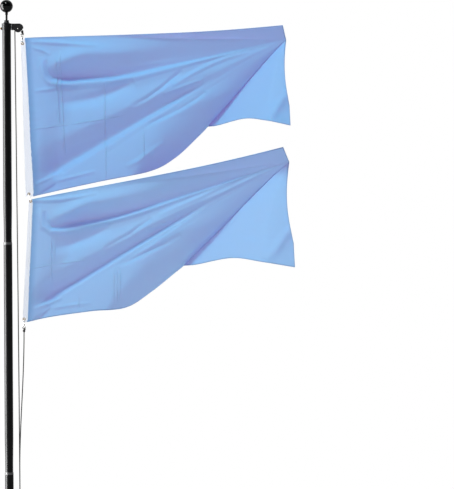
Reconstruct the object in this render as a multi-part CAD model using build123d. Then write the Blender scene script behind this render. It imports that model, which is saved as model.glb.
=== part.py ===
# Sectional flagpole that stands 20 ft above the ground, with a pulley truck, a halyard and two flags.
# Millimetres. The origin is the centre of the pole's foot at ground level and +Z is up.
# The pulley arm, the cleat and the flags point to +X, and -Y is the front.
import os
from math import atan2, degrees, hypot, pi, sin

from build123d import *

os.makedirs("parts", exist_ok=True)

# Pole
pole_height = 6096
pole_diameter = 50.8
tube_wall = 1.8
section_count = 5
top_length = 1288
lowest_length = 737
section_pitch = (pole_height - top_length - lowest_length) / (section_count - 2)
spigot_depth = 76
spigot_clearance = 0.25
spigot_shown = 60
swage_length = 140
pole_r = pole_diameter / 2
bore_r = pole_r - tube_wall
spigot_r = bore_r - spigot_clearance

# General clearances
seat_gap = 0.3
running_clearance = 0.08
hole_clearance = 0.15

# Truck cap, the casting over the top of the tube
cap_wall = 2.5
cap_skirt_height = 37.4
cap_roof = 3.4
cap_r = pole_r + cap_wall
dome_base_r = 24.6
dome_waist_r = 16.4
dome_waist_height = 5.2
dome_top_r = 13.8
dome_height = 16.4
lip_height = 2.4
lip_bulge = 0.8
cap_z = pole_height - cap_skirt_height + cap_roof
pad_width = 28
pad_height = 36

# Pulley arm
flange_thickness = 2
hood_length = 68.5
hood_height = 38.1
hood_drop = 1.7
hood_width = 24
hood_wall = 2.2
hood_back_wall = 4
cheek_slot = 16
hood_edge_r = 1.2
tip_height = 10
tip_undercut = 10
arc_lead = 3.8
arc_rise = 20.6
arc_drop = 7.6
flange_x = cap_r
hood_x = flange_x + flange_thickness
hood_tip_x = hood_x + hood_length

# Sheave and its pin
rope_r = 3
sheave_r = 22.2
sheave_width = 13
sheave_hub_width = 15.4
sheave_hub_wall = 3
sheave_rim_wall = 1
groove_r = 14.9
pin_r = 3.2
pin_head_r = 4.75
pin_head_height = 2
sheave_x = 67.2
sheave_z = cap_z + 7.1
fall_offset = groove_r + rope_r + seat_gap

# Thumb screw that locks the truck on the tube
boss_length = 6.1
boss_size = 13.8
boss_z = cap_z + 7.3
thumb_z = cap_z + 8.9
thumb_shank_r = 2.4
thumb_shoulder_r = 4
thumb_shoulder_length = 1.6
thumb_neck_length = 4.6
thumb_head_r = 5.3
thumb_head_length = 4.2

# Finial
spindle_r = 6.4
spindle_length = 32.4
stud_r = 4.8
stud_depth = 12
collar_r = 8.6
collar_height = 13
ball_r = 38.1
ball_wall = 1.2
ball_lap = 4
ball_step = 1.4
ball_hub_height = 6
ball_stud_reach = 8
spindle_z = cap_z + cap_skirt_height + dome_height + lip_height
collar_z = spindle_z + spindle_length
ball_z = collar_z + collar_height + ball_r

# Cleat
cleat_z = 1250
cleat_length = 152
cleat_foot_length = 64
cleat_foot_width = 18
cleat_foot_thickness = 6
cleat_neck_length = 44
cleat_neck_width = 13
cleat_horn_r = 6.5
cleat_tip_r = 4.3
cleat_horn_flare = 6
cleat_horn_x = pole_r + 28
cleat_screw_spread = 26
cleat_screw_r = 2.4
cleat_screw_head_r = 4.6
cleat_screw_head_height = 2.3
cleat_screw_sink = 2
cleat_screw_grip = 8

# Hoist line that carries the flags
swing_x = 92
top_eye_z = cap_z - 32
eye_spread = 1725
bottom_eye_z = top_eye_z - eye_spread
eye_r = 8
eye_wire_r = 2
stem_r = 2.6
stem_length = 9
stem_head_r = 3.8
stem_head_height = 2
barrel_r = 5.2
barrel_length = 10
hook_wire_r = 2.2
hook_half_width = 6.5
hook_length = 16
hook_mouth_share = 0.4
gate_wire_r = 1.7
gate_slant = 1.4
shoulder_drop = 4
loop_r = 6.5
knot_r = 6
knot_length = 10
knot_sink = 1
falls_spread = 3.3
falls_x = 62.5
falls_join_drop = 545
falls_join_z = bottom_eye_z - falls_join_drop
lower_fall_rise = 230
lower_fall_z = cleat_z + lower_fall_rise
fall_sweep_r = 900
fall_bend_r = 400
fall_straight = 150
turn_drop = 14
cleat_bend_r = 120

# Headings, grommets and flags
heading_thickness = 3
grommet_bore_r = 4.5
grommet_barrel_r = 6
grommet_flange_r = 8.5
grommet_flange_thickness = 0.8
grommet_slack = 1.2
grommet_margin = 17.7
cloth_thickness = 1.6
upper_hoist = 918
middle_gap = 18
middle_margin = 12
middle_x = 34
middle_step = 10
link_wire_r = 2
link_half_width = 7


def save(shape, name):
    """Write one node."""
    shape.label = name
    export_step(shape, f"parts/{name}.step")


def cylinder_z(radius, low, high, x=0, y=0):
    return Pos(x, y, (low + high) / 2) * Cylinder(radius, high - low)


def cylinder_x(radius, low, high, z, y=0):
    return Pos((low + high) / 2, y, z) * Rot(0, 90, 0) * Cylinder(radius, high - low)


def cylinder_y(radius, low, high, x, z):
    return Pos(x, (low + high) / 2, z) * Rot(90, 0, 0) * Cylinder(radius, high - low)


def box_between(low, high):
    centre = [(a + b) / 2 for a, b in zip(low, high)]
    return Pos(*centre) * Box(*[b - a for a, b in zip(low, high)])


def turned(points):
    """A solid turned about Z from its half profile of (radius, height) points."""
    return revolve(make_face(Polyline(*[(r, 0, z) for r, z in points], close=True)), Axis.Z)


def tube_along(path, radius):
    start = Plane(origin=path @ 0, z_dir=path % 0)
    return sweep(start * Circle(radius), path=path)


def section_top(index):
    return pole_height - top_length - (index - 1) * section_pitch if index else pole_height


def pole_section(index):
    """One tube, numbered from the top; its lower end is swaged to plug into the next one."""
    top = section_top(index)
    joint = section_top(index + 1)
    if index == section_count - 1:
        return turned([(pole_r, 0), (pole_r, top), (bore_r, top), (bore_r, 0)])
    neck = joint + spigot_shown
    foot = joint - spigot_depth
    inner = spigot_r - tube_wall
    return turned([
        (pole_r, top), (pole_r, neck + swage_length), (spigot_r, neck), (spigot_r, foot),
        (inner, foot), (inner, neck), (bore_r, neck + swage_length), (bore_r, top),
    ])


def truck_cap():
    skirt_top = cap_z + cap_skirt_height
    lip_z = skirt_top + dome_height
    with BuildPart() as cap:
        with BuildSketch(Plane.XZ):
            with BuildLine():
                Line((0, cap_z), (cap_r, cap_z))
                Line((cap_r, cap_z), (cap_r, skirt_top))
                Line((cap_r, skirt_top), (dome_base_r, skirt_top))
                ThreePointArc((dome_base_r, skirt_top), (dome_waist_r, skirt_top + dome_waist_height),
                              (dome_top_r, lip_z))
                ThreePointArc((dome_top_r, lip_z), (dome_top_r + lip_bulge, lip_z + lip_height / 2),
                              (dome_top_r, lip_z + lip_height))
                Line((dome_top_r, lip_z + lip_height), (0, lip_z + lip_height))
                Line((0, lip_z + lip_height), (0, cap_z))
            make_face()
        revolve(axis=Axis.Z)
    pad = box_between((0, -pad_width / 2, cap_z), (flange_x, pad_width / 2, cap_z + pad_height))
    boss = box_between((-cap_r - boss_length, -boss_size / 2, boss_z - boss_size / 2),
                       (0, boss_size / 2, boss_z + boss_size / 2))
    body = cap.part + pad + boss
    body -= cylinder_z(pole_r + seat_gap, cap_z - 1, pole_height + 0.1)
    body -= cylinder_z(stud_r + hole_clearance, pole_height, spindle_z + 1)
    body -= cylinder_x(thumb_shank_r + hole_clearance, -cap_r - boss_length - 1, 0, thumb_z)
    return body


def hood_flange():
    return box_between((flange_x, -pad_width / 2, cap_z), (hood_x, pad_width / 2, cap_z + pad_height))


def hood_outline(inset, low):
    """The arm's side outline, drawn inset by a wall and run down to a height."""
    left = hood_x + (hood_back_wall if inset else 0)
    top = cap_z - hood_drop + hood_height - inset
    tip = hood_tip_x - inset
    foot = tip if inset else tip - tip_undercut
    tip_z = cap_z + tip_height
    arc_start = sheave_x + arc_lead
    with BuildSketch(Plane.XZ) as side:
        with BuildLine():
            Line((left, low), (left, top))
            Line((left, top), (arc_start, top))
            ThreePointArc((arc_start, top), (arc_start + arc_rise - inset, top - arc_drop), (tip, tip_z))
            Line((tip, tip_z), (foot, low))
            Line((foot, low), (left, low))
        make_face()
    return side.sketch


def sheave_hood():
    low = cap_z - hood_drop
    body = extrude(hood_outline(0, low), hood_width / 2, both=True)
    top_edges = [edge for edge in body.edges()
                 if abs(edge.center().Y) > hood_width / 2 - seat_gap and edge.center().Z > cap_z + tip_height]
    round_edges = [edge for edge in top_edges if edge.center().X > hood_x + hood_edge_r]
    body = fillet(round_edges, hood_edge_r)
    body -= extrude(hood_outline(hood_wall, low - hood_edge_r), cheek_slot / 2, both=True)
    body -= cylinder_y(pin_r + hole_clearance, -hood_width, hood_width, sheave_x, sheave_z)
    return body


def sheave():
    half = sheave_width / 2
    hub = sheave_hub_width / 2
    bore = pin_r + running_clearance
    hub_r = pin_r + sheave_hub_wall
    groove = rope_r + seat_gap
    centre = groove_r + groove
    rim = half - sheave_rim_wall
    with BuildPart() as wheel:
        with BuildSketch(Plane.XZ):
            with BuildLine():
                Polyline((bore, -hub), (hub_r, -hub), (hub_r, -half), (sheave_r, -half), (sheave_r, -rim),
                         (centre, -groove))
                ThreePointArc((centre, -groove), (centre - groove, 0), (centre, groove))
                Polyline((centre, groove), (sheave_r, rim), (sheave_r, half), (hub_r, half), (hub_r, hub),
                         (bore, hub), (bore, -hub))
            make_face()
        revolve(axis=Axis.Z)
    return Pos(sheave_x, 0, sheave_z) * Rot(90, 0, 0) * wheel.part


def sheave_pin():
    face = hood_width / 2
    shank = cylinder_y(pin_r, -face - 1, face + 1, sheave_x, sheave_z)
    front = cylinder_y(pin_head_r, -face - pin_head_height, -face, sheave_x, sheave_z)
    rear = cylinder_y(pin_head_r, face, face + pin_head_height, sheave_x, sheave_z)
    front = fillet(front.edges().group_by(Axis.Y)[0], pin_head_height * 0.6)
    rear = fillet(rear.edges().group_by(Axis.Y)[-1], pin_head_height * 0.6)
    return shank + front + rear


def thumb_screw():
    face = -cap_r - boss_length
    shoulder = face - thumb_shoulder_length
    neck = shoulder - thumb_neck_length
    body = cylinder_x(thumb_shank_r, neck, -pole_r - seat_gap, thumb_z)
    body += cylinder_x(thumb_shoulder_r, shoulder, face, thumb_z)
    body += cylinder_x(thumb_head_r, neck - thumb_head_length, neck, thumb_z)
    return body


def finial_spindle():
    body = cylinder_z(spindle_r, spindle_z, collar_z)
    body += cylinder_z(stud_r, spindle_z - stud_depth, spindle_z + 1)
    body += cylinder_z(stud_r, collar_z - 1, ball_z - ball_r + ball_stud_reach)
    return body


def finial_collar():
    body = cylinder_z(collar_r, collar_z, collar_z + collar_height + 2)
    body -= cylinder_z(stud_r + hole_clearance, collar_z - 1, collar_z + collar_height + 4)
    return body - Pos(0, 0, ball_z) * Sphere(ball_r)


def finial_ball_half(upper):
    """One half of the spun ball; the lower one has the ring that the upper one laps over and the hub."""
    side = 1 if upper else -1
    half = Pos(0, 0, ball_z) * (Sphere(ball_r) - Sphere(ball_r - ball_wall))
    edge = ball_z + side * seat_gap / 2
    room = ball_r + ball_lap
    low, high = sorted((edge, edge + side * room))
    half = half & box_between((-room, -room, low), (room, room, high))
    if upper:
        return half
    ring_r = ball_r - ball_wall - seat_gap
    hollow = cylinder_z(ring_r - ball_wall, ball_z - 2 * ball_lap, ball_z + 2 * ball_lap)
    ring = cylinder_z(ring_r, ball_z - ball_lap, ball_z + ball_lap) - hollow
    web = cylinder_z(ball_r, ball_z - ball_lap, ball_z - ball_lap + ball_step) - hollow
    base = ball_z - ball_r
    hub = cylinder_z(collar_r, base, base + ball_hub_height)
    inside = Pos(0, 0, ball_z) * Sphere(ball_r - ball_wall / 4)
    half = half + (ring & inside) + (web & inside) + (hub & inside)
    return half - cylinder_z(stud_r + hole_clearance, base - 1, base + ball_stud_reach + 1)


def cleat():
    """Horn cleat: a foot on the tube, a neck and two horns that run up and down."""
    half = cleat_length / 2
    neck_half = cleat_neck_length / 2
    foot = box_between((pole_r - cleat_foot_thickness, -cleat_foot_width / 2, cleat_z - cleat_foot_length / 2),
                       (pole_r + cleat_foot_thickness, cleat_foot_width / 2, cleat_z + cleat_foot_length / 2))
    foot -= cylinder_z(pole_r + seat_gap, cleat_z - half, cleat_z + half)
    neck = box_between((pole_r + cleat_foot_thickness - 1, -cleat_neck_width / 2, cleat_z - neck_half),
                       (cleat_horn_x, cleat_neck_width / 2, cleat_z + neck_half))
    horn = Pos(cleat_horn_x, 0, cleat_z) * Cylinder(cleat_horn_r, cleat_neck_length)
    tip_x = cleat_horn_x + cleat_horn_flare
    for side in (-1, 1):
        tip_z = cleat_z + side * (half - cleat_tip_r)
        root = Plane(origin=(cleat_horn_x, 0, cleat_z + side * neck_half), z_dir=(0, 0, side))
        tip = Plane(origin=(tip_x, 0, tip_z), z_dir=(0, 0, side))
        horn += loft([root * Circle(cleat_horn_r), tip * Circle(cleat_tip_r)])
        horn += Pos(tip_x, 0, tip_z) * Sphere(cleat_tip_r)
    body = foot + neck + horn
    outer = cleat_horn_x + cleat_horn_r
    for z in screw_heights():
        body -= cylinder_x(cleat_screw_r + hole_clearance, 0, outer + 1, z)
        body -= cylinder_x(cleat_screw_head_r + hole_clearance, cleat_horn_x + cleat_screw_sink, outer + 1, z)
    return body


def screw_heights():
    return [cleat_z - cleat_screw_spread / 2, cleat_z + cleat_screw_spread / 2]


def cleat_screw(z):
    seat = cleat_horn_x + cleat_screw_sink + seat_gap
    head = cylinder_x(cleat_screw_head_r, seat, seat + cleat_screw_head_height, z)
    return head + cylinder_x(cleat_screw_r, pole_r - cleat_screw_grip, seat + cleat_screw_head_height / 2, z)


def snap_eye(eye_z, side):
    """Swivel eye of a snap hook; side is 1 where the hook hangs below the eye and -1 where it stands above."""
    ring = Pos(swing_x, 0, eye_z) * Rot(90, 0, 0) * Torus(eye_r, eye_wire_r)
    stem_top = eye_z - side * eye_r
    stem_end = stem_top - side * (stem_length + stem_head_height)
    stem = cylinder_z(stem_r, *sorted((stem_top, stem_end)), x=swing_x)
    head = cylinder_z(stem_head_r, *sorted((stem_end, stem_end + side * stem_head_height)), x=swing_x)
    return ring + stem + head


def barrel_start(eye_z, side):
    return eye_z - side * (eye_r + eye_wire_r + 2)


def hook_bend_z(eye_z, side):
    return barrel_start(eye_z, side) - side * (barrel_length + shoulder_drop + hook_length)


def snap_hook(eye_z, side):
    """Hook frame with the barrel that the eye swivels in."""
    start = barrel_start(eye_z, side)
    end = start - side * barrel_length
    stem_end = eye_z - side * (eye_r + stem_length + stem_head_height)
    barrel = cylinder_z(barrel_r, *sorted((start, end)), x=swing_x)
    barrel -= cylinder_z(stem_r + running_clearance, *sorted((start + side, stem_end)), x=swing_x)
    chamber = stem_end - side * seat_gap, stem_end + side * (stem_head_height + seat_gap)
    barrel -= cylinder_z(stem_head_r + seat_gap, *sorted(chamber), x=swing_x)
    bend = hook_bend_z(eye_z, side)
    arc = hook_half_width
    shoulder = end - side * shoulder_drop
    tip = bend - side * arc
    path = FilletPolyline(
        (swing_x, 0, end + side * hook_wire_r), (swing_x, 0, end),
        (swing_x, arc, shoulder - side * hook_wire_r), (swing_x, arc, tip),
        (swing_x, -arc, tip), (swing_x, -arc, bend + side * hook_length * hook_mouth_share),
        radius=[hook_wire_r, shoulder_drop, arc * 0.98, arc * 0.98],
    )
    return barrel + tube_along(path, hook_wire_r)


def snap_gate(eye_z, side):
    """Spring gate that closes the hook's mouth."""
    bend = hook_bend_z(eye_z, side)
    end = barrel_start(eye_z, side) - side * barrel_length
    arc = hook_half_width
    low = bend + side * (hook_length * hook_mouth_share + seat_gap)
    high = end - side * shoulder_drop * 0.75
    root = (swing_x, seat_gap * 2 - barrel_r, high + side * gate_slant)
    path = FilletPolyline((swing_x, -arc, low), (swing_x, -arc, high), root, radius=gate_wire_r * 1.1)
    return tube_along(path, gate_wire_r)


def knot(eye_z, side):
    """Rope loop through a snap's eye, with the hitch that closes it."""
    loop_z = eye_z + side * (eye_r - eye_wire_r - rope_r - seat_gap + loop_r)
    loop = Pos(swing_x, 0, loop_z) * Rot(0, 90, 0) * Torus(loop_r, rope_r)
    hitch_end = knot_end_z(eye_z, side)
    hitch = cylinder_z(knot_r, *sorted((hitch_end - side * knot_length, hitch_end)), x=swing_x)
    hitch = fillet(hitch.edges(), knot_r * 0.4)
    return loop + hitch


def knot_end_z(eye_z, side):
    return eye_z + side * (eye_r - eye_wire_r - rope_r - seat_gap + 2 * loop_r - knot_sink + knot_length)


def halyard_top_fall():
    low = (swing_x, 0, knot_end_z(top_eye_z, 1))
    high = (sheave_x + fall_offset, 0, sheave_z)
    path = Spline(low, high, tangents=[(0, 0, 1), (0, 0, 1)])
    return tube_along(path, rope_r)


def halyard_main_run():
    """From the sheave's outer side over the groove and down the pole to the cleat's lower horn and up."""
    inner_x = sheave_x - fall_offset
    over = ThreePointArc((sheave_x + fall_offset, 0, sheave_z), (sheave_x, 0, sheave_z + fall_offset),
                         (inner_x, 0, sheave_z))
    turn_z = cleat_z - cleat_neck_length / 2 - turn_drop
    shoulder_z = cleat_z + cleat_foot_length / 2 + turn_drop
    behind = pole_r + cleat_foot_thickness + 2 * rope_r
    side_y = cleat_neck_width / 2 + 1.5 * rope_r
    run = FilletPolyline(
        (inner_x, 0, sheave_z), (inner_x, 0, cap_z - turn_drop * 2), (falls_x, falls_spread, falls_join_z),
        (falls_x, falls_spread, lower_fall_z - turn_drop * 2), (behind, side_y, shoulder_z),
        (behind, side_y, turn_z), (behind, -side_y, turn_z), (behind, -side_y, shoulder_z),
        (falls_x, -falls_spread, lower_fall_z - turn_drop * 2), (falls_x, -falls_spread, lower_fall_z),
        radius=[fall_bend_r, fall_sweep_r, cleat_bend_r, cleat_bend_r / 2, side_y * 0.8, side_y * 0.8,
                cleat_bend_r / 2, cleat_bend_r],
    )
    return tube_along(over, rope_r) + tube_along(run, rope_r)


def halyard_lower_fall():
    high = knot_end_z(bottom_eye_z, -1)
    path = FilletPolyline(
        (falls_x, -falls_spread, lower_fall_z), (falls_x, -falls_spread, falls_join_z - fall_straight),
        (swing_x, 0, high - fall_straight), (swing_x, 0, high), radius=[fall_sweep_r, fall_bend_r],
    )
    return tube_along(path, rope_r)


def grommet(x, z):
    barrel = cylinder_y(grommet_barrel_r, -heading_thickness / 2 - 1, heading_thickness / 2 + 1, x, z)
    body = barrel
    for side in (-1, 1):
        face = side * (heading_thickness / 2 + 0.1)
        body += cylinder_y(grommet_flange_r, *sorted((face, face + side * grommet_flange_thickness)), x, z)
    return body - cylinder_y(grommet_bore_r, -9, 9, x, z)


# Where the grommets' centres come, as (x, z), from the hooks that they hang in
upper_top_place = (swing_x + grommet_slack, hook_bend_z(top_eye_z, 1) - hook_half_width - grommet_slack)
lower_foot_place = (swing_x + grommet_slack, hook_bend_z(bottom_eye_z, -1) + hook_half_width + grommet_slack)
upper_head_z = upper_top_place[1] + grommet_margin
upper_foot_z = upper_head_z - upper_hoist
lower_head_z = upper_foot_z - middle_gap
lower_foot_z = lower_foot_place[1] - grommet_margin
upper_foot_place = (swing_x + middle_x, upper_foot_z + middle_margin)
lower_top_place = (swing_x + middle_x + middle_step, lower_head_z - middle_margin)


def middle_link():
    """Long link that joins the two headings where they meet."""
    (high_x, high_z), (low_x, low_z) = upper_foot_place, lower_top_place
    lean = degrees(atan2(high_x - low_x, high_z - low_z))
    half = hypot(high_x - low_x, high_z - low_z) / 2 + grommet_slack - link_half_width
    side = link_half_width
    outline = Wire([
        Line((0, side, -half), (0, side, half)),
        ThreePointArc((0, side, half), (0, 0, half + side), (0, -side, half)),
        Line((0, -side, half), (0, -side, -half)),
        ThreePointArc((0, -side, -half), (0, 0, -half - side), (0, side, -half)),
    ])
    ring = sweep(Plane(origin=(0, side, 0), z_dir=(0, 0, 1)) * Circle(link_wire_r), path=outline)
    return Pos((high_x + low_x) / 2, 0, (high_z + low_z) / 2) * Rot(0, lean, 0) * ring


def heading(corners, holes):
    """A canvas strip with two grommet holes; corners are top hoist, top seam, bottom seam, bottom hoist."""
    outline = make_face(Plane.XZ * Polyline(*corners, close=True))
    strip = extrude(outline, heading_thickness / 2, both=True)
    for x, z in holes:
        strip -= cylinder_y(grommet_barrel_r + hole_clearance, -9, 9, x, z)
    return strip


# Outline of each flag, as (x from the swing line, depth towards the front, height above the hoist's foot)
upper = {
    "hoist_top": (swing_x - 8.5, upper_head_z), "seam_top": (swing_x + 20, upper_head_z + 6),
    "seam_bottom": (swing_x + 57, upper_foot_z), "hoist_bottom": (swing_x + 15, upper_foot_z),
    "fly_top": (swing_x + 1538, -30, upper_head_z + 88),
    "fan": (swing_x + 1556, -60, upper_head_z + 4),
    "fly_bulge": 24,
    "top_sag": 14,
    "bottom": [(swing_x + x, depth, upper_foot_z + z) for x, depth, z in (
        (57, 0, 0), (217, 0, 41), (453, 0, 82), (749, 0, 141), (908, 0, 220), (1038, 0, 340),
        (1092, 0, 400), (1084, -30, 404), (1148, -20, 412), (1308, 15, 452), (1438, 40, 444), (1577, 30, 419),
    )],
}
lower = {
    "hoist_top": (swing_x + 34, lower_head_z), "seam_top": (swing_x + 54, lower_head_z),
    "seam_bottom": (swing_x + 20, lower_foot_z), "hoist_bottom": (swing_x - 8.5, lower_foot_z),
    "fly_top": (swing_x + 1536, -30, lower_head_z + 305),
    "fan": (swing_x + 1570, -60, lower_head_z + 216),
    "fly_bulge": 32,
    "top_sag": 12,
    "bottom": [(swing_x + x, depth, lower_foot_z + z) for x, depth, z in (
        (20, 0, 0), (157, 0, 29), (396, 0, 61), (598, 0, 79), (758, 0, 167), (893, 0, 275),
        (939, 0, 315), (932, -30, 321), (1018, -20, 329), (1228, 15, 371), (1408, 40, 353), (1598, 30, 328),
    )],
}

# Depth of the folds across the fan, as (place, depth): 0 is the hoist's top, 1 its foot, past 1 the bottom edge
near_folds = [
    (-1, -10), (0, 0), (0.13, 12), (0.37, -44), (0.405, -26), (0.47, -42), (0.52, -44), (0.80, -32),
    (0.96, -68), (1.03, -48), (1.40, -30), (1.52, -48), (1.83, -100), (1.98, -104), (2.23, -60), (2.43, -8),
    (2.63, 40), (2.83, 68),
]
# Towards the fly the lower folds run out into one beside the ridge
fly_folds = [
    (-1, 10), (0, 6), (0.37, -46), (0.405, -26), (0.47, -38), (0.55, -36), (0.79, -24), (1.03, -50),
    (1.40, -56), (1.83, -112), (1.98, -114), (2.23, -66), (2.43, -10), (2.63, 40), (2.83, 68),
]
fan_level = 0.12
upper_fade = 0.17
lower_fade = 0.10
levelling = 0.15
level_reach = 0.45
levelled_below = 0.75
corner_curl = 30
crest_place = 1.03
open_edge = 1.40
shut_edge = 0.72
least_edge = 0.05
ridge_place = 1.83
ridge_knot = 6


def smooth(knots, t):
    """Catmull-Rom curve through evenly spaced knots, at t from 0 to 1."""
    last = len(knots) - 1
    span = min(int(t * last), last - 1)
    s = t * last - span
    before, start = knots[max(span - 1, 0)], knots[span]
    end, after = knots[span + 1], knots[min(span + 2, last)]
    return tuple(
        b + 0.5 * s * (c - a + s * (2 * a - 5 * b + 4 * c - d + s * (3 * (b - c) + d - a)))
        for a, b, c, d in zip(before, start, end, after)
    )


def eased(t):
    t = min(max(t, 0), 1)
    return t * t * (3 - 2 * t)


def fold_depth(folds, q):
    """Depth of the folds at a place along the flag's rim, never past a crest or a valley."""
    last = len(folds) - 2
    span = next((i for i in range(last + 1) if q <= folds[i + 1][0]), last)

    def grade(i):
        return (folds[i + 1][1] - folds[i][1]) / (folds[i + 1][0] - folds[i][0]) if 0 <= i <= last else 0

    def lean(before, after):
        return 2 * before * after / (before + after) if before * after > 0 else 0

    (low, start), (high, end) = folds[span], folds[span + 1]
    width = high - low
    s = min(max((q - low) / width, 0), 1)
    here = grade(span)
    into, out = lean(grade(span - 1), here) * width, lean(here, grade(span + 1)) * width
    bend = 3 * (end - start) - 2 * into - out
    return start + s * (into + s * (bend + s * (2 * (start - end) + into + out)))


def fold_place(q, u, t):
    """Near the hoist the upper folds level out, and the fold beside the ridge opens towards the bottom edge."""
    if q < levelled_below:
        share = eased(q / 0.3) * (1 - eased((q - 0.45) / 0.3))
        return q + levelling * share * (1 - eased(u / level_reach))
    if q <= crest_place or q >= ridge_place:
        return q
    edge = max(shut_edge + (open_edge - shut_edge) * t, crest_place + least_edge)
    if q < edge:
        return crest_place + (open_edge - crest_place) * (q - crest_place) / (edge - crest_place)
    return ridge_place - (ridge_place - open_edge) * (ridge_place - q) / (ridge_place - edge)


def lerp(a, b, t):
    return tuple(p + (q - p) * t for p, q in zip(a, b))


def ray_slope(flag, x, z):
    return (flag["fan"][2] - z) / (flag["fan"][0] - x)


def flag_point(flag, u, v):
    """A point of the cloth as (x, depth, z): u runs from the seam to the fly, v from the top down."""
    reach = 1 - u
    drop = v - fan_level
    top = (flag["seam_top"][0] + seat_gap, 0, flag["seam_top"][1])
    foot = (flag["seam_bottom"][0] + seat_gap, 0, flag["seam_bottom"][1])
    t = max(reach, drop / (1 - fan_level), -drop / fan_level)
    if t < 1e-9:
        return flag["fan"]
    if reach >= t - 1e-9:
        level = fan_level + drop / t
        rim, q = lerp(top, foot, level), level
    elif drop > 0:
        along = 1 - reach / t
        rim = smooth(flag["bottom"], along)
        last = len(flag["bottom"]) - 1
        past = along * last - ridge_knot
        if past < 0:
            head, heel = ray_slope(flag, top[0], top[2]), ray_slope(flag, foot[0], foot[2])
            q = min((ray_slope(flag, rim[0], rim[2]) - head) / (heel - head), ridge_place)
        else:
            q = ridge_place + past / (last - ridge_knot)
    else:
        along = 1 - reach / t
        rim, q = lerp(top, flag["fly_top"], along), -along
        rim = (rim[0], rim[1], rim[2] - flag["top_sag"] * sin(pi * along))
    x, depth, z = lerp(flag["fan"], rim, t)
    fade = upper_fade + (lower_fade - upper_fade) * eased((q - 0.5) / 0.3)
    near = eased(((t if drop > 0 else reach) - 0.2) / 0.22)
    place = fold_place(q, u, t)
    fold = fold_depth(near_folds, place) * near + fold_depth(fly_folds, place) * (1 - near)
    depth += fold * 2 * t * eased(u / fade)
    depth -= corner_curl * eased((u - 0.92) / 0.08) * eased((v - 0.6) / 0.3)
    inward = sin(pi * min(max((v - fan_level) / 0.68, 0), 1))
    x -= flag["fly_bulge"] * inward * u ** 6
    return (x, depth, z)


def across(flag, u, v, du, dv):
    """Direction of the cloth at (u, v), along u by du or down it by dv."""
    x, depth, z = (
        b - a for a, b in zip(flag_point(flag, max(u - du, 0), max(v - dv, 0)),
                              flag_point(flag, min(u + du, 1), min(v + dv, 1)))
    )
    return Vector(x, -depth, z)


def flag_cloth(flag, columns=24, rows=12):
    """The cloth as a closed skin of even thickness."""
    step = 1e-3
    front, back = [], []
    for i in range(columns + 1):
        u = i / columns
        front.append([])
        back.append([])
        for j in range(rows + 1):
            v = j / rows
            x, depth, z = flag_point(flag, u, v)
            place = Vector(x, -depth, z)
            normal = across(flag, u, v, step, 0).cross(across(flag, u, v, 0, step)).normalized()
            front[-1].append(place + normal * (cloth_thickness / 2))
            back[-1].append(place - normal * (cloth_thickness / 2))
    return skin(front, back)


def skin(front, back):
    """Closed skin of flat triangles between two grids of points."""
    columns, rows = len(front), len(front[0])
    faces = []

    def add_quad(a, b, c, d):
        faces.append(Face(Wire.make_polygon([a, b, c], close=True)))
        faces.append(Face(Wire.make_polygon([a, c, d], close=True)))

    for grid in (front, back):
        for i in range(columns - 1):
            for j in range(rows - 1):
                add_quad(grid[i][j], grid[i + 1][j], grid[i + 1][j + 1], grid[i][j + 1])
    rim = [(i, 0) for i in range(columns)] + [(columns - 1, j) for j in range(1, rows)]
    rim += [(i, rows - 1) for i in range(columns - 2, -1, -1)] + [(0, j) for j in range(rows - 2, 0, -1)]
    for (a, b), (c, d) in zip(rim, rim[1:] + rim[:1]):
        add_quad(front[a][b], front[c][d], back[c][d], back[a][b])
    return Solid(Shell(faces))


if __name__ == "__main__":
    for index in range(section_count):
        section = pole_section(index)
        if index == section_count - 2:
            for z in screw_heights():
                section -= cylinder_x(cleat_screw_r + hole_clearance, 0, pole_r + 1, z)
        save(section, f"pole_section_{index + 1}")
    save(truck_cap(), "truck_cap")
    save(hood_flange(), "hood_flange")
    save(sheave_hood(), "sheave_hood")
    save(sheave(), "sheave")
    save(sheave_pin(), "sheave_pin")
    save(thumb_screw(), "thumb_screw")
    save(finial_spindle(), "finial_spindle")
    save(finial_collar(), "finial_collar")
    save(finial_ball_half(False), "finial_ball_lower")
    save(finial_ball_half(True), "finial_ball_upper")
    save(cleat(), "cleat")
    save(cleat_screw(screw_heights()[0]), "cleat_screw_lower")
    save(cleat_screw(screw_heights()[1]), "cleat_screw_upper")
    save(halyard_main_run(), "halyard_main_run")
    save(halyard_top_fall(), "halyard_top_fall")
    save(halyard_lower_fall(), "halyard_lower_fall")
    for name, eye_z, side in (("top", top_eye_z, 1), ("bottom", bottom_eye_z, -1)):
        save(knot(eye_z, side), f"{name}_knot")
        save(snap_eye(eye_z, side), f"{name}_snap_eye")
        save(snap_hook(eye_z, side), f"{name}_snap_hook")
        save(snap_gate(eye_z, side), f"{name}_snap_gate")
    for name, flag, holes in (
        ("upper", upper, (upper_top_place, upper_foot_place)),
        ("lower", lower, (lower_top_place, lower_foot_place)),
    ):
        corners = [flag[corner] for corner in ("hoist_top", "seam_top", "seam_bottom", "hoist_bottom")]
        save(heading(corners, holes), f"{name}_heading")
        for end, (x, z) in zip(("top", "bottom"), holes):
            save(grommet(x, z), f"{name}_{end}_grommet")
        save(flag_cloth(flag), f"{name}_flag")
    save(middle_link(), "middle_link")
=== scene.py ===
import math

import bpy
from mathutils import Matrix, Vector, noise


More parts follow.
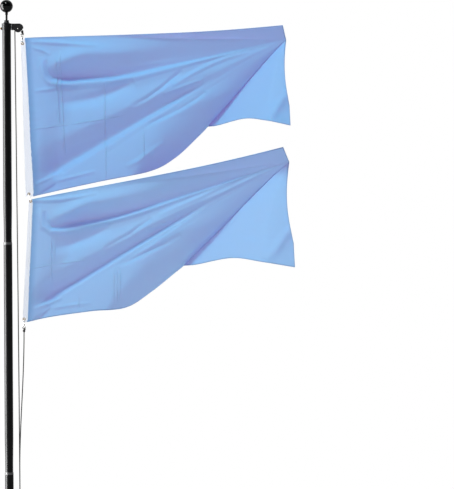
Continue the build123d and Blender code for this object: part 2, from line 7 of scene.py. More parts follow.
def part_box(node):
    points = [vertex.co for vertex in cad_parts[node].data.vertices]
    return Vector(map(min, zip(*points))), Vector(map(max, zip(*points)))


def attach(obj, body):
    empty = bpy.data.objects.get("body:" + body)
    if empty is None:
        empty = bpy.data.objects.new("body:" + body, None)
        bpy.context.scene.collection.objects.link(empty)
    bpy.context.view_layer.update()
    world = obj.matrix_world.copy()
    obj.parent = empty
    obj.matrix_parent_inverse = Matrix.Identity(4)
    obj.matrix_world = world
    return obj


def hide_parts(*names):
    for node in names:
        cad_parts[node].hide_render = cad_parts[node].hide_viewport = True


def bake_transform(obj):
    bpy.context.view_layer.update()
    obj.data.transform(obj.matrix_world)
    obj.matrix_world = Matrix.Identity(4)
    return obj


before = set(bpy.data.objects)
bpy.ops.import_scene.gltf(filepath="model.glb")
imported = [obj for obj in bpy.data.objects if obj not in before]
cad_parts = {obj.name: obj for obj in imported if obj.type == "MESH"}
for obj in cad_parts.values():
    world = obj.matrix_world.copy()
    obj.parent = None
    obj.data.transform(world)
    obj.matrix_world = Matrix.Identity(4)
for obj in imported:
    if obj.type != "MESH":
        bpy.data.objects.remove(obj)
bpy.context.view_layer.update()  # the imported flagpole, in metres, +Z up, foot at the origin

# The main view at the photograph's left, read at 5.9 mm a pixel
photoView = {
    "metresPerPixel": 0.0059,
    "widthPx": 454,
    "heightPx": 489,
    "capBottomPx": 28.5,
    "axisTopPx": 6.6,
    "axisTopRowPx": 32,
    "axisBottomPx": 9.4,
    "leanRunPx": 456,
    "distance": 20.0,
    "sensor": 36.0,
    "clipEnd": 200,
}

studio = {
    "aim": (0.6, 0, 5.0),
    "floorReach": 150,
    "floorSides": 128,
    "floorPaint": "f2f2f0",
    "floorNear": 3,
    "floorFar": 28,
    "keyPower": 1060,
    "keyPlace": (-1.9, -5.0, 14.7),
    "keySize": 2.5,
    "fillPower": 120,
    "fillPlace": (3.0, -11.0, 5.5),
    "fillSize": 4.0,
    "cardHeight": 9.0,
    "cardDistance": 6.0,
    "cardGlow": 32.0,
    # name, side, degrees off the line of sight, width and share of the glow
    "cards": (("leftCard", -1, 85, 4.2, 1.0), ("rightCard", 1, 80, 2.0, 0.02)),
    "frontGlow": 0.16,
    "backGlow": 1.0,
    "glossGlow": 0.03,
    "glossBack": 1.0,
    # in gloss the white lies behind and above: the way to it, and where along that it starts and is full
    "backWay": (0, 0.8, 0.6),
    "backStart": 0.3,
    "backFull": 0.8,
    "frontFade": 0.1,
}


def hexColor(code):
    parts = [int(code[i:i + 2], 16) / 255 for i in (0, 2, 4)]
    linear = [c / 12.92 if c <= 0.04045 else ((c + 0.055) / 1.055) ** 2.4 for c in parts]
    return (*linear, 1.0)


def addNode(tree, kind, settings=None, links=None):
    node = tree.nodes.new(kind)
    for key, value in (settings or {}).items():
        if isinstance(key, str) and hasattr(node, key):
            setattr(node, key, value)
        else:
            node.inputs[key].default_value = value
    for key, socket in (links or {}).items():
        tree.links.new(socket, node.inputs[key])
    return node


def addMath(tree, operation, first, second=None):
    # a step of arithmetic on a socket, with another socket or a number
    node = addNode(tree, "ShaderNodeMath", {"operation": operation}, {0: first})
    if isinstance(second, bpy.types.NodeSocket):
        tree.links.new(second, node.inputs[1])
    elif second is not None:
        node.inputs[1].default_value = second
    return node


def startMaterial(name):
    material = bpy.data.materials.new(name)
    material.use_nodes = True
    tree = material.node_tree
    tree.nodes.clear()
    output = tree.nodes.new("ShaderNodeOutputMaterial")
    return material, tree, output


def deselectAll():
    bpy.ops.object.select_all(action="DESELECT")


def dressNode(name, material):
    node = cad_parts[name]
    node.data.materials.clear()
    node.data.materials.append(material)


# Camera and studio

def setCamera():
    view = photoView
    scale = view["metresPerPixel"]
    lean = (view["axisBottomPx"] - view["axisTopPx"]) / view["leanRunPx"]
    middleAxisPx = view["axisTopPx"] + lean * (view["heightPx"] / 2 - view["axisTopRowPx"])
    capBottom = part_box("truck_cap")[0].z
    x = (view["widthPx"] / 2 - middleAxisPx) * scale
    z = capBottom - (view["heightPx"] / 2 - view["capBottomPx"]) * scale
    bpy.ops.object.camera_add(location=(x, -view["distance"], z), rotation=(math.pi / 2, 0, 0))
    camera = bpy.context.object
    camera.name = "photoCamera"
    camera.rotation_euler = (math.pi / 2, math.atan(lean), 0)
    camera.data.sensor_width = view["sensor"]
    camera.data.lens = view["sensor"] * view["distance"] / (view["heightPx"] * scale)
    camera.data.clip_end = view["clipEnd"]
    bpy.context.scene.camera = camera


def addCard(name, x, y, width, glow):
    # a white card that only shows in gloss, taller than the pole
    deselectAll()
    bpy.ops.mesh.primitive_plane_add(size=1, location=(x, y, studio["cardHeight"] / 2))
    card = bpy.context.object
    card.name = name
    card.dimensions = (width, studio["cardHeight"], 0)
    card.rotation_euler = (math.pi / 2, 0, math.atan2(x, -y))
    material, tree, output = startMaterial(name)
    light = addNode(tree, "ShaderNodeEmission", {"Color": (1, 1, 1, 1), "Strength": glow})
    tree.links.new(light.outputs[0], output.inputs["Surface"])
    card.data.materials.append(material)
    card.visible_camera = False
    card.visible_diffuse = False
    card.visible_shadow = False
    card.visible_transmission = False


def addLamp(name, place, size, power, target, glossy):
    bpy.ops.object.light_add(type="AREA", location=place)
    lamp = bpy.context.object
    lamp.name = name
    lamp.data.shape = "DISK"
    lamp.data.size = size
    lamp.data.energy = power
    lamp.rotation_euler = (Vector(target) - Vector(place)).to_track_quat("-Z", "Y").to_euler()
    lamp.visible_glossy = glossy


def setStudio():
    aim = studio["aim"]
    addLamp("keyLamp", studio["keyPlace"], studio["keySize"], studio["keyPower"], aim, True)
    addLamp("fillLamp", studio["fillPlace"], studio["fillSize"], studio["fillPower"], aim, False)
    reach = studio["cardDistance"]
    for name, side, turn, width, share in studio["cards"]:
        angle = math.radians(turn)
        addCard(name, side * reach * math.sin(angle), -reach * math.cos(angle), width, studio["cardGlow"] * share)

    deselectAll()
    bpy.ops.mesh.primitive_circle_add(vertices=studio["floorSides"], radius=studio["floorReach"], fill_type="NGON",
                                      location=(0, 0, 0))
    floor = bpy.context.object
    floor.name = "floor"
    # pale paint that turns into the white background far from the pole, and keeps the shadow near it
    material, tree, output = startMaterial("paleFloor")
    path = addNode(tree, "ShaderNodeLightPath")
    spot = addNode(tree, "ShaderNodeTexCoord")
    away = addNode(tree, "ShaderNodeVectorMath", {"operation": "LENGTH"}, {0: spot.outputs["Object"]})
    far = addNode(tree, "ShaderNodeMapRange", {
        "interpolation_type": "SMOOTHSTEP", "From Min": studio["floorNear"], "From Max": studio["floorFar"],
    }, {"Value": away.outputs["Value"]})
    gloss = addMath(tree, "MAXIMUM", path.outputs["Is Glossy Ray"], path.outputs["Is Transmission Ray"])
    seen = addMath(tree, "MAXIMUM", path.outputs["Is Camera Ray"], gloss.outputs[0])
    share = addMath(tree, "MULTIPLY", far.outputs["Result"], seen.outputs[0])
    paint = addNode(tree, "ShaderNodeBsdfDiffuse", {"Color": hexColor(studio["floorPaint"])})
    glow = addNode(tree, "ShaderNodeEmission", {"Color": (1, 1, 1, 1), "Strength": 1.0})
    mix = addNode(tree, "ShaderNodeMixShader",
                  links={"Fac": share.outputs[0], 1: paint.outputs[0], 2: glow.outputs[0]})
    tree.links.new(mix.outputs[0], output.inputs["Surface"])
    floor.data.materials.append(material)

    world = bpy.data.worlds.new("paleStudio")
    bpy.context.scene.world = world
    world.use_nodes = True
    tree = world.node_tree
    tree.nodes.clear()
    output = tree.nodes.new("ShaderNodeOutputWorld")
    path = addNode(tree, "ShaderNodeLightPath")
    spot = addNode(tree, "ShaderNodeTexCoord")
    split = addNode(tree, "ShaderNodeSeparateXYZ", links={0: spot.outputs["Generated"]})
    tilt = addNode(tree, "ShaderNodeVectorMath", {"operation": "DOT_PRODUCT", 1: studio["backWay"]},
                   {0: spot.outputs["Generated"]})
    behind = addNode(tree, "ShaderNodeMapRange", {
        "From Min": studio["backStart"], "From Max": studio["backFull"], "To Max": studio["glossBack"],
    }, {"Value": tilt.outputs["Value"]})
    seen = addMath(tree, "MAXIMUM", path.outputs["Is Camera Ray"], path.outputs["Is Transmission Ray"])
    around = addNode(tree, "ShaderNodeMapRange", {
        "From Min": -studio["frontFade"], "From Max": studio["frontFade"],
        "To Min": studio["frontGlow"], "To Max": studio["backGlow"],
    }, {"Value": split.outputs["Y"]})
    gloss = addMath(tree, "ADD", behind.outputs["Result"], studio["glossGlow"])
    soft = addNode(tree, "ShaderNodeMix", {"data_type": "FLOAT"},
                   {"Factor": path.outputs["Is Glossy Ray"], "A": around.outputs["Result"], "B": gloss.outputs[0]})
    level = addNode(tree, "ShaderNodeMix", {"data_type": "FLOAT", "B": 1.0},
                    {"Factor": seen.outputs[0], "A": soft.outputs["Result"]})
    sky = addNode(tree, "ShaderNodeBackground", {"Color": (1, 1, 1, 1)}, {"Strength": level.outputs["Result"]})
    tree.links.new(sky.outputs[0], output.inputs["Surface"])
    bpy.context.scene.view_settings.view_transform = "Standard"


setCamera()
setStudio()
print("camera and studio are set")


# Materials

plainGrain = {"spread": 0.15, "strength": 0.3, "detail": 3.0}


def makePlain(name, color, roughness, grain, grainSize, metallic=0.0, specular=0.5):
    # one hard finish with a fine grain that shows in the gloss
    material, tree, output = startMaterial(name)
    place = addNode(tree, "ShaderNodeTexCoord")
    shader = addNode(tree, "ShaderNodeBsdfPrincipled", {
        "Base Color": hexColor(color), "Metallic": metallic, "Specular IOR Level": specular,
    })
    cloud = addNode(tree, "ShaderNodeTexNoise", {"Scale": 1 / grainSize, "Detail": plainGrain["detail"]},
                    {"Vector": place.outputs["Object"]})
    rough = addNode(tree, "ShaderNodeMapRange", {
        "To Min": roughness * (1 - plainGrain["spread"]), "To Max": roughness * (1 + plainGrain["spread"]),
    }, {"Value": cloud.outputs["Fac"]})
    bump = addNode(tree, "ShaderNodeBump", {"Strength": plainGrain["strength"], "Distance": grain},
                   {"Height": cloud.outputs["Fac"]})
    tree.links.new(rough.outputs["Result"], shader.inputs["Roughness"])
    tree.links.new(bump.outputs["Normal"], shader.inputs["Normal"])
    tree.links.new(shader.outputs[0], output.inputs["Surface"])
    return material


# enamel baked to a high gloss: near black, with one narrow bright line
glossBlack = makePlain("glossBlackEnamel", "040405", roughness=0.12, grain=0.00002, grainSize=0.002, specular=0.12)
# enamel over cast metal: black, with a wider and slightly uneven gloss
castBlack = makePlain("castBlackEnamel", "0b0b0d", roughness=0.35, grain=0.0001, grainSize=0.0015, specular=0.14)
# matt paint over a rough casting: dark grey without a clear highlight
mattBlack = makePlain("mattBlackCasting", "121214", roughness=0.5, grain=0.0001, grainSize=0.0008, specular=0.25)
# nylon from a mould: even dark grey with a soft sheen
blackNylon = makePlain("mouldedBlackNylon", "17171a", roughness=0.45, grain=0.00005, grainSize=0.0012)
# painted highlight: the hood's flange drawn in pale metal, for the light caught all along the bend of the hood
flangeHighlight = makePlain("paleFlangeHighlight", "c9cacc", metallic=1.0, roughness=0.35, grain=0.00005, grainSize=0.0006)
# polished nickel plate: almost a mirror, with sharp bright spots
nickel = makePlain("brightNickelPlate", "d6d4cf", metallic=1.0, roughness=0.16, grain=0.00001, grainSize=0.001)
# brass from the lathe: warm metal, satin from the tool's marks
turnedBrass = makePlain("turnedBrass", "b59a63", metallic=1.0, roughness=0.3, grain=0.00004, grainSize=0.0007)
# brass pressed in a die: the same warmth with a smoother gloss
grommetBrass = makePlain("stampedBrass", "b08d52", metallic=1.0, roughness=0.28, grain=0.00002, grainSize=0.001)


tubeFinish = {
    "coat": "030304", "coatSpecular": 0.14, "smoothest": 0.26, "roughest": 0.36,
    "cloudScale": 14.0, "cloudDetail": 4.0,
    "peelScale": 900.0, "peelDetail": 2.0, "peelStrength": 0.15, "peelDepth": 0.00006,
    # the grey band at each open end and its roughness are a painted highlight
    "rimHighlight": "3c3c3e", "rimHighlightRoughness": 0.42, "rimHalf": 0.006, "rimFade": 0.002,
}


def makeTubeBlack(rims):
    # satin powder coat on drawn tube, with a painted highlight: a grey band on the rim of each open end, for the
    # light caught in the groove at each joint
    material, tree, output = startMaterial("satinBlackPowderCoat")
    place = addNode(tree, "ShaderNodeTexCoord")
    split = addNode(tree, "ShaderNodeSeparateXYZ", links={0: place.outputs["Object"]})
    highlightMask = None
    for height in rims:
        away = addMath(tree, "SUBTRACT", split.outputs["Z"], height - tubeFinish["rimHalf"])
        size = addMath(tree, "ABSOLUTE", away.outputs[0])
        near = addNode(tree, "ShaderNodeMapRange", {
            "From Min": tubeFinish["rimHalf"], "From Max": tubeFinish["rimHalf"] + tubeFinish["rimFade"],
            "To Min": 1.0, "To Max": 0.0,
        }, {"Value": size.outputs[0]})
        if highlightMask is None:
            highlightMask = near.outputs["Result"]
        else:
            both = addMath(tree, "MAXIMUM", highlightMask, near.outputs["Result"])
            highlightMask = both.outputs[0]
    peel = addNode(tree, "ShaderNodeTexNoise",
                   {"Scale": tubeFinish["peelScale"], "Detail": tubeFinish["peelDetail"]},
                   {"Vector": place.outputs["Object"]})
    cloud = addNode(tree, "ShaderNodeTexNoise",
                    {"Scale": tubeFinish["cloudScale"], "Detail": tubeFinish["cloudDetail"]},
                    {"Vector": place.outputs["Object"]})
    rough = addNode(tree, "ShaderNodeMapRange", {"To Min": tubeFinish["smoothest"], "To Max": tubeFinish["roughest"]},
                    {"Value": cloud.outputs["Fac"]})
    bump = addNode(tree, "ShaderNodeBump",
                   {"Strength": tubeFinish["peelStrength"], "Distance": tubeFinish["peelDepth"]},
                   {"Height": peel.outputs["Fac"]})
    coat = addNode(tree, "ShaderNodeBsdfPrincipled",
                   {"Base Color": hexColor(tubeFinish["coat"]), "Specular IOR Level": tubeFinish["coatSpecular"]},
                   {"Roughness": rough.outputs["Result"], "Normal": bump.outputs["Normal"]})
    # painted highlight: the grey of the band on each rim
    rimHighlight = addNode(tree, "ShaderNodeBsdfPrincipled",
                   {"Base Color": hexColor(tubeFinish["rimHighlight"]), "Roughness": tubeFinish["rimHighlightRoughness"]})
    mix = addNode(tree, "ShaderNodeMixShader", links={"Fac": highlightMask, 1: coat.outputs[0], 2: rimHighlight.outputs[0]})
    tree.links.new(mix.outputs[0], output.inputs["Surface"])
    return material


rims = [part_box(f"pole_section_{i}")[1].z for i in range(2, 6)]
tubeBlack = makeTubeBlack(rims)
for i in range(1, 6):
    dressNode(f"pole_section_{i}", tubeBlack)
dressNode("truck_cap", castBlack)
for name in ("finial_spindle", "finial_collar", "finial_ball_lower", "finial_ball_upper"):
    dressNode(name, glossBlack)
for name in ("sheave_hood", "cleat"):
    dressNode(name, mattBlack)
dressNode("sheave", blackNylon)
# the flange's pale metal is a painted highlight on the black hood
dressNode("hood_flange", flangeHighlight)
dressNode("thumb_screw", turnedBrass)
for name in ("sheave_pin", "cleat_screw_lower", "cleat_screw_upper", "top_snap_eye", "top_snap_hook", "top_snap_gate",
             "bottom_snap_eye", "bottom_snap_hook", "bottom_snap_gate", "middle_link"):
    dressNode(name, nickel)
for name in ("upper_top_grommet", "upper_bottom_grommet", "lower_top_grommet", "lower_bottom_grommet"):
    dressNode(name, grommetBrass)
print("hard pieces are finished")


# the braid's dark and light tones paint shade into the grooves between strands
braid = {
    "strands": 8.0, "pitch": 0.0044, "strength": 0.9, "depth": 0.0008, "dark": "050506", "light": "1c1c1f",
    "roughness": 0.75, "specular": 0.2,
}


def makeRopeBlack():
    # braided polyester: strands cross at 28 degrees to each side of the rope's length, 2.1 mm apart on the 6 mm
    # halyard, and take little light; the grooves between strands are darker with painted shade
    material, tree, output = startMaterial("braidedBlackPolyester")
    uv = addNode(tree, "ShaderNodeUVMap", {"uv_map": "ropeUV"})
    split = addNode(tree, "ShaderNodeSeparateXYZ", links={0: uv.outputs["UV"]})
    ridges = []
    for side in (-1, 1):
        turn = addMath(tree, "MULTIPLY", split.outputs["X"], side * braid["strands"])
        run = addMath(tree, "MULTIPLY", split.outputs["Y"], 1 / braid["pitch"])
        both = addMath(tree, "ADD", turn.outputs[0], run.outputs[0])
        wave = addMath(tree, "PINGPONG", both.outputs[0], 0.5)
        ridges.append(wave.outputs[0])
    height = addMath(tree, "MAXIMUM", ridges[0], ridges[1])
    bump = addNode(tree, "ShaderNodeBump", {"Strength": braid["strength"], "Distance": braid["depth"]},
                   {"Height": height.outputs[0]})
    # painted shade: the tone follows the braid's height, dark in the grooves and lighter on the strands' tops
    tone = addNode(tree, "ShaderNodeMix",
                   {"data_type": "RGBA", "A": hexColor(braid["dark"]), "B": hexColor(braid["light"])},
                   {"Factor": height.outputs[0]})
    shader = addNode(tree, "ShaderNodeBsdfPrincipled",
                     {"Roughness": braid["roughness"], "Specular IOR Level": braid["specular"]},
                     {"Base Color": tone.outputs["Result"], "Normal": bump.outputs["Normal"]})
    tree.links.new(shader.outputs[0], output.inputs["Surface"])
    return material


def readRoute(points, steps):
    # the route's smooth line, read from a spline with its points as control points
    curve = bpy.data.curves.new("routeCurve", "CURVE")
    curve.dimensions = "3D"
    spline = curve.splines.new("NURBS")
    spline.points.add(len(points) - 1)
    for point, place in zip(spline.points, points):
        point.co = (*place, 1)
    spline.order_u = 3
    spline.use_endpoint_u = True
    spline.resolution_u = steps
    carrier = bpy.data.objects.new("routeCarrier", curve)
    bpy.context.collection.objects.link(carrier)
    bpy.context.view_layer.update()
    mesh = bpy.data.meshes.new_from_object(carrier)
    line = [vertex.co.copy() for vertex in mesh.vertices]
    bpy.data.objects.remove(carrier)
    bpy.data.curves.remove(curve)
    bpy.data.meshes.remove(mesh)
    return line


def makeTube(name, lines, radius, sides, material):
    # one mesh of closed round tubes along the lines, unrolled into the map that the braid reads
    places, faces, uvs = [], [], []
    for line in lines:
        first = len(places)
        side = (line[1] - line[0]).orthogonal().normalized()
        run, runs = 0, []
        for i, point in enumerate(line):
            way = (line[min(i + 1, len(line) - 1)] - line[max(i - 1, 0)]).normalized()
            side = (side - way * side.dot(way)).normalized()
            up = way.cross(side)
            run += (point - line[i - 1]).length if i else 0
            runs.append(run)
            for k in range(sides):
                angle = 2 * math.pi * k / sides
                places.append(point + (side * math.cos(angle) + up * math.sin(angle)) * radius)
        for i in range(len(line) - 1):
            low, high = first + i * sides, first + (i + 1) * sides
            for k in range(sides):
                after = (k + 1) % sides
                faces.append((low + k, low + after, high + after, high + k))
                uvs.append([(k / sides, runs[i]), ((k + 1) / sides, runs[i]), ((k + 1) / sides, runs[i + 1]),
                            (k / sides, runs[i + 1])])
        last = first + (len(line) - 1) * sides
        faces.append(tuple(first + k for k in reversed(range(sides))))
        faces.append(tuple(last + k for k in range(sides)))
        uvs.append([(0, 0)] * sides)
        uvs.append([(0, run)] * sides)
    mesh = bpy.data.meshes.new(name)
    mesh.from_pydata(places, [], faces)
    layer = mesh.uv_layers.new(name="ropeUV")
    for polygon, corners in zip(mesh.polygons, uvs):
        polygon.use_smooth = len(polygon.vertices) == 4
        for loop, uv in zip(polygon.loop_indices, corners):
            layer.data[loop].uv = uv
    mesh.materials.append(material)
    piece = bpy.data.objects.new(name, mesh)
    bpy.context.collection.objects.link(piece)
    return piece


# The halyard: over the sheave, down to the cleat, under its lower horn and up to the bottom snap
halyard = {
    "radius": 0.003, "sides": 12, "steps": 16,
    "mainRun": [
        (0.0854, 0, 6.0691), (0.0851, 0, 6.0756), (0.0782, 0, 6.0849), (0.0672, 0, 6.0883), (0.0562, 0, 6.0849),
        (0.0493, 0, 6.0756), (0.0490, 0, 6.0691), (0.0490, 0, 6.0340), (0.0625, 0.0033, 3.7600),
        (0.0625, 0.0033, 1.6000), (0.0625, 0.0033, 1.4520), (0.0374, 0.0110, 1.2960), (0.0374, 0.0112, 1.2320),
        (0.0374, 0.0108, 1.2130), (0.0374, -0.0108, 1.2130), (0.0374, -0.0112, 1.2320), (0.0374, -0.0110, 1.2960),
        (0.0625, -0.0033, 1.4520), (0.0625, -0.0033, 1.4800),
    ],
    "topFall": [(0.0854, 0, 6.0691), (0.0854, 0, 6.0640), (0.0920, 0, 6.0600), (0.0920, 0, 6.0547)],
    "lowerFall": [
        (0.0625, -0.0033, 1.4800), (0.0625, -0.0033, 3.3500), (0.0625, -0.0033, 3.6100), (0.0920, 0, 4.1303),
        (0.0920, 0, 4.2803),
    ],
}
knots = {
    "swingX": 0.092, "wrapRadius": 0.0050, "ropeRadius": 0.0026, "turns": 2.25, "pitch": 0.0050,
    "wrapStart": 0.0145, "pointsPerTurn": 12, "sides": 10, "steps": 6,
    # piece, node, height of the snap's eye and the way the knot stands from it
    "ends": (("topKnot", "top_knot", 6.030, 1), ("bottomKnot", "bottom_knot", 4.305, -1)),
    "loop": [
        (0, 0, 0.0247), (0.0006, 0.0010, 0.0200), (0.0004, 0.0036, 0.0150), (0, 0.0072, 0.0095),
        (0, 0.0056, 0.0034), (0, 0, 0.0022), (0, -0.0056, 0.0034), (0, -0.0072, 0.0095),
        (-0.0004, -0.0036, 0.0150), (-0.0006, -0.0010, 0.0200), (0, 0, 0.0240),
    ],
    "tail": [(0.0050, 0, 0.0160), (0.0062, 0.0010, 0.0120), (0.0072, 0.0030, 0.0060), (0.0066, 0.0052, -0.0010)],
}
ropeBlack = makeRopeBlack()


def makeHalyard():
    size = (halyard["radius"], halyard["sides"], ropeBlack)
    run = makeTube("halyardRun", [readRoute(halyard["mainRun"], halyard["steps"])], *size)
    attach(run, "pole")
    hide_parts("halyard_main_run")
    for name, route, node in (("halyardTopFall", halyard["topFall"], "halyard_top_fall"),
                              ("halyardLowerFall", halyard["lowerFall"], "halyard_lower_fall")):
        fall = makeTube(name, [readRoute(route, 2 * halyard["steps"])], *size)
        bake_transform(fall)
        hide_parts(node)


def makeKnot(name, node, eyeZ, side):
    # a loop through the snap's eye, closed by a coil of wraps and left with a short tail
    def place(x, y, z):
        return (knots["swingX"] + x, y, eyeZ + side * z)

    count = int(knots["turns"] * knots["pointsPerTurn"])
    coil = []
    for i in range(count + 1):
        angle = 2 * math.pi * i / knots["pointsPerTurn"]
        rise = knots["wrapStart"] + knots["pitch"] * i / knots["pointsPerTurn"]
        coil.append(place(knots["wrapRadius"] * math.cos(angle), knots["wrapRadius"] * math.sin(angle), rise))
    routes = [[place(*point) for point in knots["loop"]], coil, [place(*point) for point in knots["tail"]]]
    lines = [readRoute(route, knots["steps"]) for route in routes]
    knot = makeTube(name, lines, knots["ropeRadius"], knots["sides"], ropeBlack)
    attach(knot, "hoist_line")
    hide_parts(node)


makeHalyard()
for end in knots["ends"]:
    makeKnot(*end)
print("halyard is rigged")


# Flags: cloth that fans out from the fly, with folds, small ridges, hems, creases and puckers

upperFlag = {
    "name": "upperFlag", "node": "upper_flag", "headingPiece": "upperHeading", "flat": (1.56, 0.93),
    # the hem colours are darker: thicker cloth along the edges, and painted shade there and beside the heading
    "blue": "67dbf2", "violet": "e7c3f0", "hemAndShadeBlue": "62c4e6", "hemAndShadeViolet": "c09fd4",
    # how far the lower folds bow upwards, as a share of the fan
    "bow": 0.11,
    "seamTop": (0.106, 6.014), "seamBottom": (0.151, 5.078),
    "flyTop": (1.630, -0.030, 6.080), "fan": (1.650, -0.060, 5.997),
    "flyBulge": 0.018, "topSag": 0.015,
    "bottom": [
        (0.151, 0, 5.078), (0.309, 0, 5.116), (0.545, 0, 5.165), (0.835, 0, 5.224), (0.986, 0, 5.304),
        (1.122, 0, 5.428), (1.180, 0, 5.488), (1.172, -0.030, 5.491), (1.240, -0.020, 5.495),
        (1.400, 0.015, 5.530), (1.530, 0.040, 5.513), (1.669, 0.030, 5.483),
    ],
    # small folds: height (less than 0 for a trough), half width, then the (x, z) points along each
    "ridges": [
        (0.0105, 0.011, [(0.138, 5.991), (0.226, 5.988), (0.326, 5.982), (0.433, 5.974), (0.539, 5.965)]),
        (0.007, 0.009, [(0.149, 5.956), (0.208, 5.941), (0.255, 5.915)]),
        (0.015, 0.017, [(0.202, 5.900), (0.205, 5.835), (0.225, 5.782),
            (0.260, 5.749), (0.313, 5.738), (0.419, 5.735)]),
        (-0.0105, 0.012, [(0.231, 5.882), (0.243, 5.823), (0.272, 5.782), (0.337, 5.776)]),
        (-0.021, 0.032, [(0.301, 5.622), (0.401, 5.637), (0.519, 5.658),
            (0.608, 5.690), (0.679, 5.723), (0.750, 5.752)]),
        (-0.0123, 0.012, [(0.737, 5.611), (0.826, 5.658), (0.903, 5.711), (0.974, 5.770), (1.033, 5.817)]),
        (0.0105, 0.012, [(0.974, 5.729), (1.081, 5.794), (1.199, 5.853), (1.305, 5.894), (1.435, 5.929)]),
        (0.0105, 0.01, [(0.921, 5.681), (1.021, 5.717), (1.092, 5.743), (1.163, 5.767)]),
        (-0.0123, 0.013, [(0.825, 5.499), (0.931, 5.546), (1.020, 5.593), (1.109, 5.646), (1.174, 5.693)]),
        (0.0105, 0.014, [(0.700, 5.251), (0.771, 5.286), (0.842, 5.339), (0.925, 5.398)]),
        (0.0088, 0.01, [(0.162, 5.145), (0.239, 5.186), (0.322, 5.227)]),
        (0.007, 0.01, [(0.280, 5.168), (0.398, 5.198), (0.522, 5.227)]),
        (0.007, 0.009, [(0.160, 5.699), (0.230, 5.708), (0.301, 5.720)]),
        (0.016, 0.026, [(1.539, 5.504), (1.575, 5.563), (1.616, 5.628), (1.658, 5.681)]),
    ],
    # packing creases that stayed in the cloth, from (x, z) to (x, z)
    "creases": [
        ((0.312, 5.933), (0.336, 5.324)), ((0.288, 5.900), (0.306, 5.500)), ((0.575, 5.746), (0.578, 5.176)),
        ((0.805, 5.481), (0.804, 5.284)), ((0.142, 5.473), (0.371, 5.504)), ((0.371, 5.504), (0.686, 5.550)),
    ],
}
lowerFlag = {
    "name": "lowerFlag", "node": "lower_flag", "headingPiece": "lowerHeading", "flat": (1.60, 0.76),
    # the hem colours are darker: thicker cloth along the edges, and painted shade there and beside the heading
    "blue": "7ce4f6", "violet": "e7c8f2", "hemAndShadeBlue": "68cdec", "hemAndShadeViolet": "c4a8d8",
    "bow": 0.32,
    "seamTop": (0.146, 5.062), "seamBottom": (0.110, 4.337),
    "flyTop": (1.628, -0.030, 5.361), "fan": (1.664, -0.060, 5.274),
    "flyBulge": 0.026, "topSag": 0.014,
    "bottom": [
        (0.110, 0, 4.337), (0.249, 0, 4.366), (0.488, 0, 4.398), (0.690, 0, 4.418), (0.838, 0, 4.508),
        (0.977, 0, 4.618), (1.027, 0, 4.658), (1.020, -0.030, 4.663), (1.110, -0.020, 4.670),
        (1.320, 0.015, 4.708), (1.500, 0.040, 4.684), (1.690, 0.030, 4.652),
    ],
    "ridges": [
        (0.0105, 0.011, [(0.144, 5.056), (0.220, 5.053), (0.309, 5.059), (0.415, 5.074), (0.533, 5.097)]),
        (0.015, 0.016, [(0.191, 5.009), (0.193, 4.950), (0.208, 4.903),
            (0.249, 4.873), (0.320, 4.867), (0.426, 4.876)]),
        (-0.0105, 0.011, [(0.220, 4.991), (0.226, 4.938), (0.261, 4.897), (0.332, 4.894)]),
        (-0.019, 0.03, [(0.260, 4.767), (0.355, 4.791), (0.437, 4.826), (0.520, 4.864), (0.603, 4.903)]),
        (-0.0123, 0.012, [(0.561, 4.767), (0.644, 4.814), (0.721, 4.855), (0.786, 4.903), (0.851, 4.944)]),
        (0.0105, 0.012, [(0.887, 4.962), (1.017, 5.021), (1.135, 5.071), (1.253, 5.127), (1.401, 5.189)]),
        (0.0105, 0.01, [(0.827, 4.879), (0.898, 4.906), (0.957, 4.929), (1.010, 4.950)]),
        (-0.0123, 0.013, [(0.649, 4.664), (0.749, 4.711), (0.838, 4.755), (0.927, 4.799), (1.022, 4.850)]),
        (0.0088, 0.01, [(0.146, 4.413), (0.229, 4.445), (0.317, 4.478)]),
        (0.007, 0.01, [(0.246, 4.416), (0.364, 4.434), (0.494, 4.448)]),
        (0.018, 0.028, [(1.522, 4.690), (1.576, 4.755), (1.629, 4.832), (1.677, 4.891)]),
    ],
    "creases": [
        ((0.254, 4.830), (0.253, 4.564)), ((0.275, 4.830), (0.274, 4.692)), ((0.621, 4.653), (0.620, 4.446)),
        ((0.641, 4.653), (0.640, 4.446)), ((0.660, 4.653), (0.659, 4.456)), ((0.414, 4.496), (0.413, 4.397)),
        ((0.134, 4.653), (0.287, 4.680)), ((0.287, 4.680), (0.484, 4.702)),
    ],
}
# depth of the folds across the fan: -1 to 0 is the top edge, 0 to 1 the hoist downwards, and past 1 the bottom edge
nearFolds = [
    (-1, -0.010), (0, 0), (0.13, 0.015), (0.36, -0.046), (0.41, -0.020), (0.47, -0.028), (0.52, -0.029),
    (0.70, -0.017), (0.80, -0.036), (0.905, -0.060), (0.985, -0.038), (1.40, -0.026), (1.52, -0.046),
    (1.72, -0.086), (1.83, -0.098), (1.98, -0.092), (2.23, -0.054), (2.43, -0.008), (2.63, 0.040), (2.83, 0.068),
]
# towards the fly the lower folds run out into one beside the ridge
flyFolds = [
    (-1, 0.010), (0, 0.010), (0.365, -0.046), (0.405, -0.024), (0.47, -0.038), (0.55, -0.036), (0.78, -0.024),
    (0.99, -0.048), (1.40, -0.056), (1.72, -0.100), (1.83, -0.110), (1.98, -0.104), (2.23, -0.062),
    (2.43, -0.010), (2.63, 0.040), (2.83, 0.068),
]
